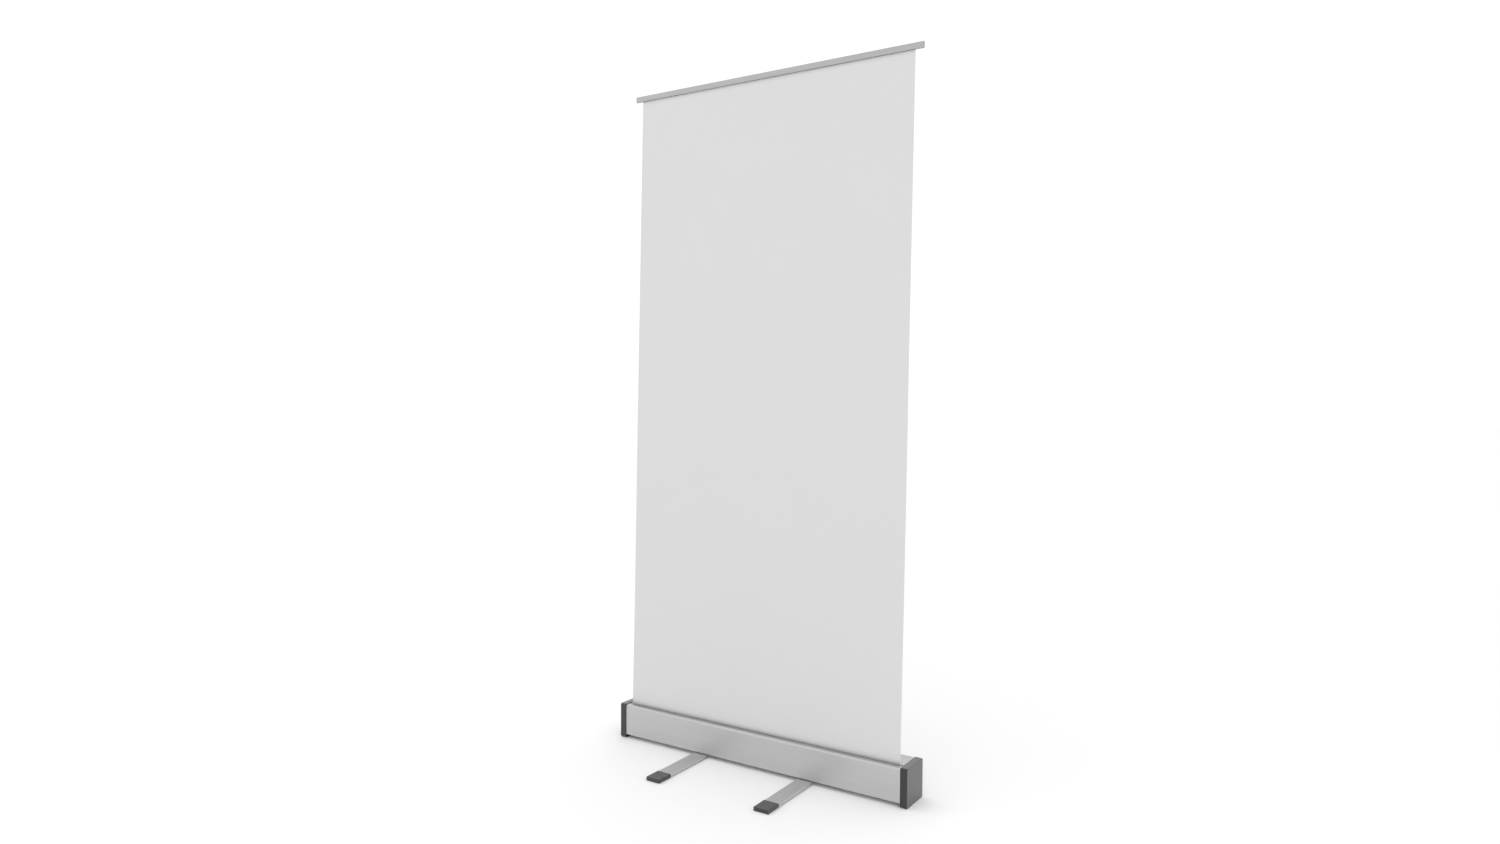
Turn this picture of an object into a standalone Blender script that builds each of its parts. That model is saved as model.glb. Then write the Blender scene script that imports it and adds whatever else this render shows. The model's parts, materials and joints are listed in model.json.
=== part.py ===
"""Roll-up banner stand, set up with its banner pulled out.

The stand is made of a cassette with a spring roller inside, two swivel feet, a three-piece
pole behind the banner and a rail along the banner's top edge.  Units are metres.  X runs along
the cassette, -Y is the front, +Z is up, and the floor is at Z = 0.
"""
import math

import bmesh
import bpy
from mathutils import Matrix, Vector

# ---------------------------------------------------------------- driving sizes
GAP = 0.0003                    # clearance between pieces that touch
CUT_OVERRUN = 0.002             # how far a cutter reaches past the wall that it cuts

BANNER_WIDTH = 0.850
BANNER_THICKNESS = 0.0005
STAND_HEIGHT = 1.863            # top of the rail above the floor

CASE_DEPTH = 0.095              # over the end covers, front to rear
CASE_HEIGHT = 0.099             # over the end covers
CASE_WALL = 0.0018
CASE_END_ROOM = 0.009           # from the banner's edge to the end cover
CASE_FLOOR_THICKNESS = 0.0018
CASE_SKIRT_DROP = 0.0015        # how far the walls reach below the case's floor
CASE_FRONT_RADIUS = 0.0060
CASE_REAR_RADIUS = 0.0035
SLOT_SETBACK = 0.0212           # from the covers' front to the banner
SLOT_WIDTH = 0.0050
GUARD_WALL = 0.0008
GUARD_LIP = 0.0035              # how far the slot's guard grips over the top wall
PORT_BLOCK = 0.0080             # square block in each corner that holds a screw bore
PORT_BORE_RADIUS = 0.0015

COVER_LENGTH = 0.019
COVER_WALL = 0.0025
COVER_END_WALL = 0.003
COVER_PROUD = 0.0018            # how far the covers stand out past the case
COVER_CORNER_RADIUS = 0.0055
COVER_EDGE = 0.0009
PEG_RADIUS = 0.0025
PEG_OFFSET = 0.024              # of the cover's pegs from the middle of the case

PLATE_THICKNESS = 0.003
PLATE_CORNER_RADIUS = 0.003
SCREW_LENGTH = 0.014
SCREW_HEAD_RADIUS = 0.0028
SCREW_HEAD_HEIGHT = 0.0018
SCREW_HEAD_EDGE = 0.0009
SCREW_POINT_LENGTH = 0.001
SCREW_POINT_RADIUS = 0.0007

ROLLER_RADIUS = 0.017
ROLLER_WALL = 0.0012
ROLLER_SETTLE = 0.0004          # how far the roller lies below the chamber's middle
ROLLER_END_ROOM = 0.002         # tube past the banner's edge
SHEET_JOIN_DROP = 0.0058        # from the case's top down to where the banner joins the leader
WRAP_THICKNESS = 0.0017         # turns of the leader left on the tube
PLUG_LENGTH = 0.022
PLUG_FLANGE = 0.002
PLUG_HUB_RADIUS = 0.008
SHAFT_RADIUS = 0.005
SHAFT_LENGTH = 0.340            # inside the roller
SHAFT_HEAD_RADIUS = 0.0075
SHAFT_HEAD_HEIGHT = 0.003
PIN_REACH = 0.002               # of the idler pin past the inner end of its plug
ANCHOR_LENGTH = 0.016
ANCHOR_CLEARANCE = 0.001        # between the spring's anchor and the turning tube
SPRING_WIRE_RADIUS = 0.0012
SPRING_RADIUS = 0.0100          # of the coil's centre line
SPRING_TURNS = 26

FOOT_PIVOT_SPACING = 0.332
FOOT_WIDTH = 0.043
FOOT_REACH = 0.2572             # from the pivot to the front of the front block
FOOT_TAIL = 0.150               # from the pivot to the end of the rear block
FOOT_BAR_THICKNESS = 0.0064
FOOT_BAR_WALL = 0.0012
FOOT_BAR_CORNER = 0.0012
FOOT_BAR_INNER_CORNER = 0.0004
FOOT_BAR_RISE = 0.0020          # of the bar's underside above the floor
BLOCK_LENGTH = 0.049
BLOCK_HEIGHT = 0.010
BLOCK_EDGE = 0.0012
BLOCK_SPIGOT_LENGTH = 0.020
BLOCK_SPIGOT_ROOT = 0.004       # of the spigot inside its block
BLOCK_SPIGOT_EDGE = 0.0008
BLOCK_CLEARANCE = 0.0005        # of a block below the case's walls
BOLT_RADIUS = 0.003
BOLT_HEAD_RADIUS = 0.009
BOLT_HEAD_HEIGHT = 0.0012
BOLT_HEAD_EDGE = 0.0008
BOLT_END = 0.001                # of the thread past its nut
WASHER_RADIUS = 0.012
NUT_RADIUS = 0.0055
NUT_HEIGHT = 0.0045

POLE_RADIUS = 0.006
POLE_WALL = 0.0009
POLE_SETBACK = 0.0305            # of the pole behind the middle of the case
SOCKET_WALL = 0.0014
SOCKET_FLANGE_REACH = 0.0015     # of the flange past the socket's barrel
SOCKET_FLANGE = 0.0012
SOCKET_FLANGE_EDGE = 0.0005
FERRULE_LENGTH = 0.100
FERRULE_WALL = 0.0012
CORD_RADIUS = 0.0015
POLE_PLUG_LENGTH = 0.014
HOOK_CLEARANCE = 0.0005         # between the pole and the rail
HOOK_HEAD = 0.003
HOOK_HEAD_EDGE = 0.0006
HOOK_TONGUE_WIDTH = 0.008
HOOK_TONGUE_THICKNESS = 0.0022
HOOK_TONGUE_HEIGHT = 0.0118     # behind the rail
HOOK_TONGUE_ROOT = 0.0012       # of the tongue inside the hook's head
HOOK_TONGUE_SETBACK = 0.0002    # of the tongue behind the pole's front
HOOK_TONGUE_EDGE = 0.0005

RAIL_HEIGHT = 0.0157
RAIL_THICKNESS = 0.008
RAIL_OVERHANG = 0.0225          # past each edge of the banner
RAIL_EDGE_RADIUS = 0.0015
RAIL_SLOT_DEPTH = 0.0065
RAIL_POCKET_RADIUS = 0.0021
RAIL_GROOVE_HEIGHT = 0.0036
RAIL_GROOVE_DEPTH = 0.0014
RAIL_PLUG_THICKNESS = 0.002
RAIL_PLUG_PEG = 0.010
RAIL_PLUG_EDGE = 0.0008
ROD_RADIUS = 0.0016

MERGE_DISTANCE = 0.000001       # of points that count as one
CORNER_ANGLE = 35.0             # degrees; a sharper edge between two faces is shaded as an edge
RIM_ANGLE = 60.0                # degrees; a rim's edges turn more than this

# ---------------------------------------------------------------- worked-out places
CASE_CENTRE_Y = (FOOT_REACH - FOOT_TAIL) / 2
CASE_HALF_DEPTH = CASE_DEPTH / 2 - COVER_PROUD
CASE_TOP = CASE_HEIGHT - COVER_PROUD
CASE_SKIRT = BLOCK_HEIGHT + BLOCK_CLEARANCE
CASE_FLOOR = CASE_SKIRT + CASE_SKIRT_DROP
CASE_END = BANNER_WIDTH / 2 + CASE_END_ROOM
CHAMBER_FLOOR = CASE_FLOOR + CASE_FLOOR_THICKNESS
CHAMBER_TOP = CASE_TOP - CASE_WALL
CHAMBER_HALF_DEPTH = CASE_HALF_DEPTH - CASE_WALL
CHAMBER_MIDDLE = (CHAMBER_FLOOR + CHAMBER_TOP) / 2
ROLLER_DROP = CASE_TOP - CHAMBER_MIDDLE + ROLLER_SETTLE    # from the slot, along the sheet

SLOT_Y = CASE_CENTRE_Y - CASE_DEPTH / 2 + SLOT_SETBACK
POLE_Y = CASE_CENTRE_Y + POLE_SETBACK
RAIL_Y = POLE_Y - POLE_RADIUS - HOOK_CLEARANCE - RAIL_THICKNESS / 2
RAIL_Z = STAND_HEIGHT - RAIL_HEIGHT / 2
LEAN = math.atan2(RAIL_Y - SLOT_Y, RAIL_Z - CASE_TOP)
SHEET_TO_RAIL = math.hypot(RAIL_Y - SLOT_Y, RAIL_Z - CASE_TOP)

WRAP_RADIUS = ROLLER_RADIUS + GAP + WRAP_THICKNESS
ROLLER_OFFSET = WRAP_RADIUS + GAP + BANNER_THICKNESS / 2
ROLLER_Y = SLOT_Y + ROLLER_OFFSET * math.cos(LEAN) - ROLLER_DROP * math.sin(LEAN)
ROLLER_Z = CASE_TOP - ROLLER_OFFSET * math.sin(LEAN) - ROLLER_DROP * math.cos(LEAN)

FOOT_TOP = FOOT_BAR_RISE + FOOT_BAR_THICKNESS
SOCKET_RADIUS = POLE_RADIUS + GAP + SOCKET_WALL
SOCKET_FLANGE_RADIUS = SOCKET_RADIUS + SOCKET_FLANGE_REACH
SOCKET_BOTTOM = CHAMBER_FLOOR + PORT_BLOCK + GAP      # it stands on the lower rear port block
POLE_BOTTOM = SOCKET_BOTTOM + SOCKET_WALL + GAP
POLE_BORE = POLE_RADIUS - POLE_WALL
POLE_TOP = RAIL_Z - RAIL_HEIGHT / 2 - HOOK_HEAD
POLE_SECTION = (POLE_TOP - POLE_BOTTOM) / 3

# ---------------------------------------------------------------- finishes
FINISHES = {
    "satin_aluminium": ((0.44, 0.44, 0.45), 0.42, 0.85),
    "foot_aluminium": ((0.36, 0.36, 0.37), 0.48, 0.80),
    "dark_plastic": ((0.055, 0.055, 0.058), 0.55, 0.0),
    "grey_plastic": ((0.30, 0.30, 0.30), 0.50, 0.0),
    "block_rubber": ((0.045, 0.045, 0.048), 0.70, 0.0),
    "banner_film": ((0.72, 0.72, 0.72), 0.60, 0.0),
    "leader_film": ((0.55, 0.56, 0.58), 0.35, 0.0),
    "zinc_steel": ((0.50, 0.50, 0.50), 0.38, 1.0),
    "spring_steel": ((0.20, 0.20, 0.21), 0.35, 1.0),
    "pale_nylon": ((0.62, 0.61, 0.57), 0.50, 0.0),
    "cord_elastic": ((0.05, 0.05, 0.05), 0.85, 0.0),
}


def clear_objects():
    for item in list(bpy.data.objects):
        bpy.data.objects.remove(item, do_unlink=True)


def make_finish(name):
    """Return the Principled material of one finish, made on first use."""
    found = bpy.data.materials.get(name)
    if found:
        return found
    colour, roughness, metallic = FINISHES[name]
    finish = bpy.data.materials.new(name)
    finish.use_nodes = True
    shader = finish.node_tree.nodes["Principled BSDF"]
    shader.inputs["Base Color"].default_value = (*colour, 1.0)
    shader.inputs["Roughness"].default_value = roughness
    shader.inputs["Metallic"].default_value = metallic
    finish.diffuse_color = (*colour, 1.0)
    return finish


def frame_point(name, location, lean=0.0, parent=None):
    """An empty that marks a joint or a leaning plane."""
    empty = bpy.data.objects.new(name, None)
    bpy.context.scene.collection.objects.link(empty)
    empty.location = location
    empty.rotation_euler = (-lean, 0.0, 0.0)
    empty.parent = parent
    return empty


def add_piece(name, shape, finish, parent, location=(0.0, 0.0, 0.0), turn=0.0):
    """Turn a bmesh into a named object below its parent, shaded smooth on its round faces."""
    bmesh.ops.remove_doubles(shape, verts=shape.verts, dist=MERGE_DISTANCE)
    bmesh.ops.recalc_face_normals(shape, faces=shape.faces)
    mesh = bpy.data.meshes.new(name)
    shape.to_mesh(mesh)
    shape.free()
    mesh.materials.append(make_finish(finish))
    mesh.shade_smooth()
    mesh.set_sharp_from_angle(angle=math.radians(CORNER_ANGLE))
    return place_mesh(name, mesh, parent, location, turn)


def place_mesh(name, mesh, parent, location=(0.0, 0.0, 0.0), turn=0.0):
    piece = bpy.data.objects.new(name, mesh)
    bpy.context.scene.collection.objects.link(piece)
    piece.parent = parent
    piece.location = location
    piece.rotation_euler = (0.0, 0.0, turn)
    return piece


def cut_with(piece, cutter_shape, name, location=(0.0, 0.0, 0.0)):
    """Cut a shape out of a piece with a hidden cutter in the piece's own frame."""
    bmesh.ops.recalc_face_normals(cutter_shape, faces=cutter_shape.faces)
    mesh = bpy.data.meshes.new(name)
    cutter_shape.to_mesh(mesh)
    cutter_shape.free()
    cutter = bpy.data.objects.new(name, mesh)
    bpy.context.scene.collection.objects.link(cutter)
    cutter.parent = piece
    cutter.location = location
    cutter.hide_render = True
    cutter.display_type = "WIRE"
    cut = piece.modifiers.new(name, "BOOLEAN")
    cut.operation = "DIFFERENCE"
    cut.solver = "EXACT"
    cut.object = cutter


def join_shape(piece, extra, name):
    """Unite a second shape with a piece, in the piece's own frame."""
    bmesh.ops.recalc_face_normals(extra, faces=extra.faces)
    mesh = bpy.data.meshes.new(name)
    extra.to_mesh(mesh)
    extra.free()
    adder = bpy.data.objects.new(name, mesh)
    bpy.context.scene.collection.objects.link(adder)
    adder.parent = piece
    adder.hide_render = True
    adder.display_type = "WIRE"
    union = piece.modifiers.new(name, "BOOLEAN")
    union.operation = "UNION"
    union.solver = "EXACT"
    union.object = adder


# ---------------------------------------------------------------- shape makers
def corner_arc(centre, radius, start, end, steps):
    """Points on an arc in the section plane, angles in degrees."""
    points = []
    for index in range(steps + 1):
        angle = math.radians(start + (end - start) * index / steps)
        points.append((centre[0] + radius * math.cos(angle), centre[1] + radius * math.sin(angle)))
    return points


def rounded_box_outline(low, high, radius, steps=4):
    """Outline of a rectangle from low to high with four equal round corners."""
    outline = []
    corners = (
        ((high[0] - radius, high[1] - radius), 0),
        ((low[0] + radius, high[1] - radius), 90),
        ((low[0] + radius, low[1] + radius), 180),
        ((high[0] - radius, low[1] + radius), 270),
    )
    for centre, start in corners:
        outline += corner_arc(centre, radius, start, start + 90, steps)
    return outline


def circle_outline(centre, radius, steps):
    return corner_arc(centre, radius, 0, 360 * (steps - 1) / steps, steps - 1)


def extrude_section(outlines, start, end, plane="YZ"):
    """Extrude an outline, less the holes that follow it, from start to end across its plane."""
    shape = bmesh.new()
    edges = []
    for outline in outlines:
        loop = []
        for first, second in outline:
            spot = {"YZ": (start, first, second), "XY": (first, second, start)}[plane]
            loop.append(shape.verts.new(spot))
        for index, vertex in enumerate(loop):
            edges.append(shape.edges.new((vertex, loop[(index + 1) % len(loop)])))
    filled = bmesh.ops.triangle_fill(shape, use_beauty=True, use_dissolve=False, edges=edges)
    faces = [item for item in filled["geom"] if isinstance(item, bmesh.types.BMFace)]
    extruded = bmesh.ops.extrude_face_region(shape, geom=faces, use_keep_orig=True)
    moved = [item for item in extruded["geom"] if isinstance(item, bmesh.types.BMVert)]
    shift = {"YZ": Vector((end - start, 0, 0)), "XY": Vector((0, 0, end - start))}[plane]
    bmesh.ops.translate(shape, vec=shift, verts=moved)
    return shape


def turned(profile, steps, axis="Z", centre=(0.0, 0.0, 0.0)):
    """Spin a closed profile of (radius, height) points once round an axis."""
    shape = bmesh.new()
    loop = [shape.verts.new((radius, 0.0, height)) for radius, height in profile]
    edges = []
    for index, vertex in enumerate(loop):
        edges.append(shape.edges.new((vertex, loop[(index + 1) % len(loop)])))
    bmesh.ops.spin(shape, geom=edges + loop, axis=(0, 0, 1), cent=(0, 0, 0),
                   angle=2 * math.pi, steps=steps, use_merge=True)
    bmesh.ops.remove_doubles(shape, verts=shape.verts, dist=MERGE_DISTANCE)
    bmesh.ops.delete(shape, geom=[edge for edge in shape.edges if not edge.link_faces], context="EDGES")
    if axis == "X":
        bmesh.ops.rotate(shape, cent=(0, 0, 0), matrix=Matrix.Rotation(math.pi / 2, 3, "Y"),
                         verts=shape.verts)
    bmesh.ops.translate(shape, vec=centre, verts=shape.verts)
    return shape


def tube_profile(outer, inner, low, high):
    return [(inner, low), (outer, low), (outer, high), (inner, high)]


def rod_profile(radius, low, high, edge=0.0):
    if edge == 0.0:
        return [(0.0, low), (radius, low), (radius, high), (0.0, high)]
    return [(0.0, low), (radius - edge, low), (radius, low + edge),
            (radius, high - edge), (radius - edge, high), (0.0, high)]


def rounded_block(size, centre, edge, steps=2):
    """A block with all its edges rounded, centred on a point."""
    shape = bmesh.new()
    bmesh.ops.create_cube(shape, size=1.0)
    bmesh.ops.scale(shape, vec=size, verts=shape.verts)
    if edge > 0:
        bmesh.ops.bevel(shape, geom=list(shape.edges), offset=edge, segments=steps, affect="EDGES",
                        profile=0.5)
    bmesh.ops.translate(shape, vec=centre, verts=shape.verts)
    return shape


def round_rim(shape, end, offset):
    """Round the outer edges of an extruded shape's end face, which lies at X = end."""
    rim = []
    for edge in shape.edges:
        on_end = all(abs(vertex.co.x - end) < MERGE_DISTANCE for vertex in edge.verts)
        if on_end and edge.calc_face_angle(0.0) > math.radians(RIM_ANGLE):
            rim.append(edge)
    bmesh.ops.bevel(shape, geom=rim, offset=offset, segments=2, affect="EDGES", profile=0.5)


# ---------------------------------------------------------------- cassette
def port_centres():
    """Screw bore centres (Y from the middle of the case, Z) in the four corners."""
    side = CHAMBER_HALF_DEPTH - PORT_BLOCK / 2
    low = CHAMBER_FLOOR + PORT_BLOCK / 2
    high = CHAMBER_TOP - PORT_BLOCK / 2
    return [(-side, low), (side, low), (side, high), (-side, high)]


def case_outline():
    """Section of the case, in Y from its middle and in Z: one wall broken by the top slot."""
    slot_y = SLOT_Y - CASE_CENTRE_Y
    front = slot_y - SLOT_WIDTH / 2
    rear = slot_y + SLOT_WIDTH / 2
    outer = CASE_HALF_DEPTH
    inner = CHAMBER_HALF_DEPTH
    block = inner - PORT_BLOCK
    low_block = CHAMBER_FLOOR + PORT_BLOCK
    high_block = CHAMBER_TOP - PORT_BLOCK
    outline = [(front, CASE_TOP)]
    outline += corner_arc((-outer + CASE_FRONT_RADIUS, CASE_TOP - CASE_FRONT_RADIUS),
                          CASE_FRONT_RADIUS, 90, 180, 6)
    outline += [(-outer, CASE_SKIRT), (-inner, CASE_SKIRT), (-inner, CASE_FLOOR),
                (inner, CASE_FLOOR), (inner, CASE_SKIRT), (outer, CASE_SKIRT)]
    outline += corner_arc((outer - CASE_REAR_RADIUS, CASE_TOP - CASE_REAR_RADIUS),
                          CASE_REAR_RADIUS, 0, 90, 4)
    outline += [(rear, CASE_TOP), (rear, CHAMBER_TOP), (block, CHAMBER_TOP), (block, high_block),
                (inner, high_block), (inner, low_block), (block, low_block),
                (block, CHAMBER_FLOOR), (-block, CHAMBER_FLOOR), (-block, low_block),
                (-inner, low_block), (-inner, high_block), (-block, high_block),
                (-block, CHAMBER_TOP), (front, CHAMBER_TOP)]
    return outline


def make_cassette(case):
    outlines = [case_outline()]
    for centre in port_centres():
        outlines.append(circle_outline(centre, PORT_BORE_RADIUS, 10))
    half = CASE_END - GAP
    body = add_piece("cassette_body", extrude_section(outlines, -half, half), "satin_aluminium", case)
    for side, name in ((-1, "left"), (1, "right")):
        hole = turned(rod_profile(BOLT_RADIUS + GAP, CASE_FLOOR - CUT_OVERRUN,
                                  CHAMBER_FLOOR + CUT_OVERRUN), 16)
        cut_with(body, hole, name + "_foot_bolt_hole", (side * FOOT_PIVOT_SPACING / 2, 0.0, 0.0))
    drill = turned(rod_profile(SOCKET_RADIUS + GAP, CHAMBER_TOP - PORT_BLOCK - CUT_OVERRUN,
                               CASE_TOP + CUT_OVERRUN), 32)
    cut_with(body, drill, "pole_socket_hole", (0.0, POLE_SETBACK, 0.0))


def make_slot_guard(case):
    """Guard clipped over the slot's rear edge, with a lip above and below the top wall."""
    edge = SLOT_Y - CASE_CENTRE_Y + SLOT_WIDTH / 2
    inner = edge - GAP
    outer = inner - GUARD_WALL
    tip = edge + GUARD_LIP
    bottom = CHAMBER_TOP - GAP
    top = CASE_TOP + GAP
    half_wall = GUARD_WALL / 2
    outline = [
        (outer, bottom - GUARD_WALL), (tip, bottom - GUARD_WALL), (tip, bottom), (inner, bottom),
        (inner, top), (tip, top), (tip, top + half_wall), (inner - half_wall, top + half_wall),
        (outer, CASE_TOP),
    ]
    half = BANNER_WIDTH / 2 + CASE_END_ROOM / 2
    add_piece("slot_guard", extrude_section([outline], -half, half), "grey_plastic", case)


def make_end_plate(case, name, side):
    """Plate on the case's end: carries the roller's shaft and takes the cover's pegs."""
    low_y = -CASE_DEPTH / 2 + COVER_WALL + GAP
    low = (low_y, CASE_SKIRT)
    high = (-low_y, CASE_HEIGHT - COVER_WALL - GAP)
    outlines = [rounded_box_outline(low, high, PLATE_CORNER_RADIUS, 3)]
    for centre in port_centres():
        outlines.append(circle_outline(centre, PORT_BORE_RADIUS + GAP, 12))
    outlines.append(circle_outline((ROLLER_Y - CASE_CENTRE_Y, ROLLER_Z), SHAFT_RADIUS + GAP, 24))
    for offset in (-PEG_OFFSET, PEG_OFFSET):
        outlines.append(circle_outline(peg_centre(offset), PEG_RADIUS + GAP, 12))
    start = side * CASE_END
    plate = extrude_section(outlines, start, start + side * PLATE_THICKNESS)
    add_piece(name + "_end_plate", plate, "zinc_steel", case)
    for number, centre in enumerate(port_centres(), start=1):
        make_plate_screw(case, f"{name}_plate_screw_{number}", side, centre)


def peg_centre(offset):
    """Centre of a cover peg: on a slanted line, clear of the shaft."""
    return (offset, CHAMBER_MIDDLE + offset)


def make_plate_screw(case, name, side, centre):
    """Pan-head screw whose thread stays clear of the bore's wall."""
    head = PLATE_THICKNESS + GAP
    shank = PORT_BORE_RADIUS - GAP
    point = head - SCREW_LENGTH
    top = head + SCREW_HEAD_HEIGHT
    profile = [(0.0, point), (SCREW_POINT_RADIUS, point), (shank, point + SCREW_POINT_LENGTH),
               (shank, head), (SCREW_HEAD_RADIUS, head), (SCREW_HEAD_RADIUS, top - SCREW_HEAD_EDGE),
               (SCREW_HEAD_RADIUS - SCREW_HEAD_EDGE, top), (0.0, top)]
    screw = turned(profile, 12, axis="X")
    if side < 0:
        bmesh.ops.rotate(screw, cent=(0, 0, 0), matrix=Matrix.Rotation(math.pi, 3, "Z"),
                         verts=screw.verts)
    add_piece(name, screw, "zinc_steel", case, (side * CASE_END, centre[0], centre[1]))


def make_end_cover(case, name, side):
    """Hollow plastic cover with two pegs that press into the end plate."""
    half = CASE_DEPTH / 2
    depth = COVER_LENGTH - COVER_END_WALL
    outer = rounded_box_outline((-half, 0.0), (half, CASE_HEIGHT), COVER_CORNER_RADIUS, 5)
    start = side * CASE_END
    end = start + side * COVER_LENGTH
    shell = extrude_section([outer], start, end)
    round_rim(shell, end, COVER_EDGE)
    cover = add_piece(name + "_end_cover", shell, "dark_plastic", case)
    inner_radius = COVER_CORNER_RADIUS - COVER_WALL
    hollow = rounded_box_outline((-half + COVER_WALL, COVER_WALL),
                                 (half - COVER_WALL, CASE_HEIGHT - COVER_WALL), inner_radius, 3)
    past = start - side * CUT_OVERRUN
    cut_with(cover, extrude_section([hollow], past, start + side * depth), name + "_cover_hollow")
    for number, offset in enumerate((-PEG_OFFSET, PEG_OFFSET), start=1):
        centre = peg_centre(offset)
        peg = circle_outline(centre, PEG_RADIUS, 12)
        peg_end = start + side * (depth + COVER_END_WALL / 2)
        join_shape(cover, extrude_section([peg], start + side * GAP, peg_end),
                   f"{name}_cover_peg_{number}")


# ---------------------------------------------------------------- spring roller
def make_roller(roller, case):
    """Everything on the roller's axis; the first group turns, the second is fixed to the case."""
    half = BANNER_WIDTH / 2 + ROLLER_END_ROOM
    bore = ROLLER_RADIUS - ROLLER_WALL
    add_piece("roller_tube", turned(tube_profile(ROLLER_RADIUS, bore, -half, half), 36, "X"),
              "satin_aluminium", roller)
    wrap_half = BANNER_WIDTH / 2
    wrap = turned(tube_profile(WRAP_RADIUS, ROLLER_RADIUS + GAP, -wrap_half, wrap_half), 40, "X")
    add_piece("leader_wrap", wrap, "leader_film", roller)
    hub_end = CASE_END - GAP
    plug = [(SHAFT_RADIUS + GAP, half - PLUG_LENGTH), (bore - GAP, half - PLUG_LENGTH),
            (bore - GAP, half + GAP), (ROLLER_RADIUS, half + GAP),
            (ROLLER_RADIUS, half + GAP + PLUG_FLANGE), (PLUG_HUB_RADIUS, half + GAP + PLUG_FLANGE),
            (PLUG_HUB_RADIUS, hub_end), (SHAFT_RADIUS + GAP, hub_end)]
    add_piece("roller_idler_plug", turned(plug, 28, "X"), "pale_nylon", roller)
    mirrored = [(radius, -height) for radius, height in plug]
    add_piece("roller_spring_plug", turned(mirrored, 28, "X"), "pale_nylon", roller)

    centre = Vector((0.0, ROLLER_Y - CASE_CENTRE_Y, ROLLER_Z))
    head_start = CASE_END + PLATE_THICKNESS + GAP
    head_end = head_start + SHAFT_HEAD_HEIGHT
    shaft_end = SHAFT_LENGTH - half
    shaft = [(0.0, -head_end), (SHAFT_HEAD_RADIUS, -head_end), (SHAFT_HEAD_RADIUS, -head_start),
             (SHAFT_RADIUS, -head_start), (SHAFT_RADIUS, shaft_end), (0.0, shaft_end)]
    add_piece("spring_shaft", turned(shaft, 20, "X"), "zinc_steel", case, centre)
    pin_start = half - PLUG_LENGTH - PIN_REACH
    pin = [(0.0, pin_start), (SHAFT_RADIUS, pin_start), (SHAFT_RADIUS, head_start),
           (SHAFT_HEAD_RADIUS, head_start), (SHAFT_HEAD_RADIUS, head_end), (0.0, head_end)]
    add_piece("idler_pin", turned(pin, 20, "X"), "zinc_steel", case, centre)

    anchor_start = shaft_end - ANCHOR_LENGTH
    anchor = tube_profile(bore - ANCHOR_CLEARANCE, SHAFT_RADIUS + GAP, anchor_start, shaft_end)
    add_piece("spring_anchor", turned(anchor, 28, "X"), "pale_nylon", case, centre)
    spring_start = PLUG_LENGTH - half + GAP + SPRING_WIRE_RADIUS
    spring_end = anchor_start - GAP - SPRING_WIRE_RADIUS
    add_piece("torsion_spring", coil(spring_start, spring_end), "spring_steel", case, centre)


def coil(start, end, steps_per_turn=12, sides=6):
    """Helical wire along X, with flat ends."""
    shape = bmesh.new()
    rings = []
    total = SPRING_TURNS * steps_per_turn
    for index in range(total + 1):
        angle = 2 * math.pi * index / steps_per_turn
        along = start + (end - start) * index / total
        out = Vector((0.0, math.cos(angle), math.sin(angle)))
        middle = Vector((along, 0.0, 0.0)) + out * SPRING_RADIUS
        ring = []
        for side in range(sides):
            turn = 2 * math.pi * side / sides
            offset = Vector((1, 0, 0)) * math.cos(turn) + out * math.sin(turn)
            ring.append(shape.verts.new(middle + offset * SPRING_WIRE_RADIUS))
        rings.append(ring)
    for first, second in zip(rings, rings[1:]):
        for side in range(sides):
            following = (side + 1) % sides
            shape.faces.new((first[side], first[following], second[following], second[side]))
    shape.faces.new(rings[0])
    shape.faces.new(rings[-1])
    return shape


def make_sheets(plane, carriage):
    """The banner and the leader, in the leaning plane whose origin is at the slot."""
    half = BANNER_WIDTH / 2
    thick = BANNER_THICKNESS / 2
    join = -SHEET_JOIN_DROP
    leader = [(-thick, -ROLLER_DROP), (thick, -ROLLER_DROP), (thick, join), (-thick, join)]
    add_piece("leader_run", extrude_section([leader], -half, half), "leader_film", plane)
    top = SHEET_TO_RAIL - RAIL_HEIGHT / 2 + RAIL_SLOT_DEPTH + RAIL_POCKET_RADIUS - ROD_RADIUS - GAP
    bottom = join + GAP
    banner = [(-thick, bottom), (thick, bottom), (thick, top), (-thick, top)]
    add_piece("banner_sheet", extrude_section([banner], -half, half), "banner_film", carriage)


# ---------------------------------------------------------------- top rail
def rail_outline():
    """Section of the rail about its own middle: slot and pocket below, groove behind."""
    half = RAIL_THICKNESS / 2
    high = RAIL_HEIGHT / 2
    radius = RAIL_EDGE_RADIUS
    slot = BANNER_THICKNESS / 2 + GAP
    pocket_z = -high + RAIL_SLOT_DEPTH + RAIL_POCKET_RADIUS
    opening = math.degrees(math.asin(slot / RAIL_POCKET_RADIUS))
    groove = RAIL_GROOVE_HEIGHT / 2
    outline = [(slot, -high)]
    outline += corner_arc((half - radius, -high + radius), radius, 270, 360, 3)
    outline += [(half, -groove), (half - RAIL_GROOVE_DEPTH, -groove),
                (half - RAIL_GROOVE_DEPTH, groove), (half, groove)]
    outline += corner_arc((half - radius, high - radius), radius, 0, 90, 3)
    outline += corner_arc((-half + radius, high - radius), radius, 90, 180, 3)
    outline += corner_arc((-half + radius, -high + radius), radius, 180, 270, 3)
    outline.append((-slot, -high))
    outline += corner_arc((0.0, pocket_z), RAIL_POCKET_RADIUS, 270 - opening, -90 + opening, 14)
    return outline


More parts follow.
